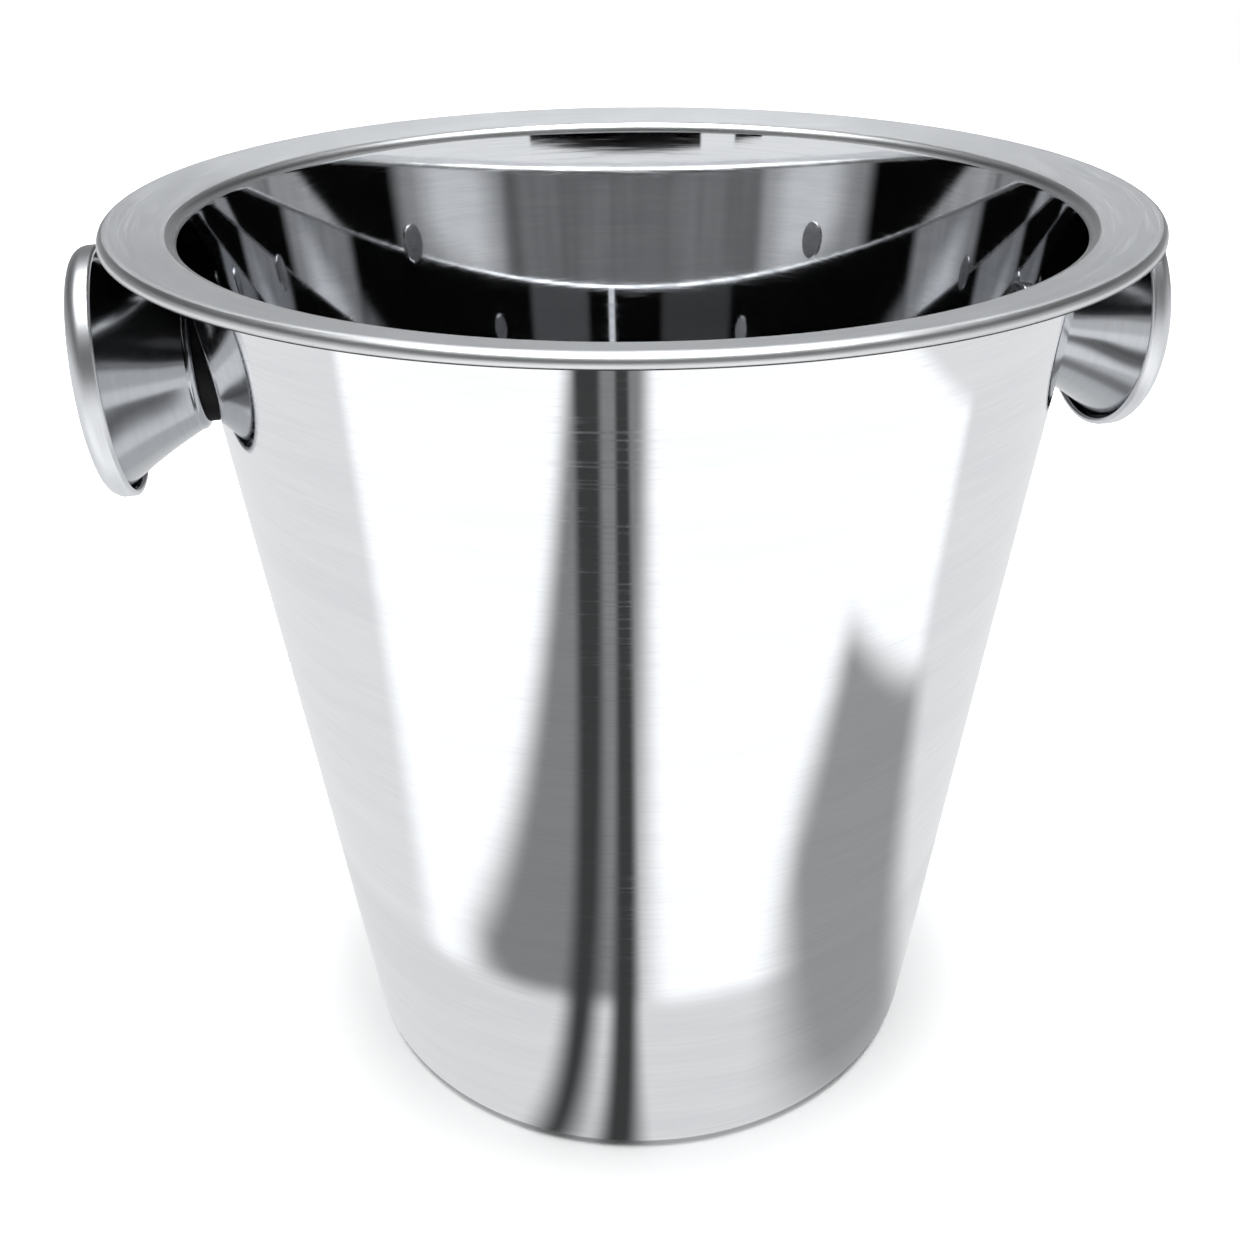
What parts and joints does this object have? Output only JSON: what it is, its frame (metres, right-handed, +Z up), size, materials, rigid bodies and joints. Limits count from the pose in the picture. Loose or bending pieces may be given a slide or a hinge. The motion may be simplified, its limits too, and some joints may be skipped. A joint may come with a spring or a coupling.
{
  "type": "champagne bucket",
  "caption": "Tapered polished steel champagne bucket with a broad satin flange round its mouth and a trumpet-shaped knob handle on each side.",
  "frame": {"origin": "centre of the base on the surface it stands on", "axes": "+Z up through the mouth, +X through the right knob"},
  "size_m": [0.2346, 0.22, 0.206],
  "materials": {
    "shell_steel": "mirror polished outside with fine circumferential lines, satin flange",
    "knob_steel": "mirror polished",
    "fixing_steel": "dull, as set",
    "rubber": "matte"
  },
  "bodies": {
    "root": {"bucket_shell": "shell_steel", "left_knob_cone": "knob_steel", "left_knob_cap": "knob_steel", "left_knob_gasket": "rubber", "left_knob_washer": "fixing_steel", "left_knob_rivet": "fixing_steel", "right_knob_cone": "knob_steel", "right_knob_cap": "knob_steel", "right_knob_gasket": "rubber", "right_knob_washer": "fixing_steel", "right_knob_rivet": "fixing_steel"}
  },
  "joints": []
}
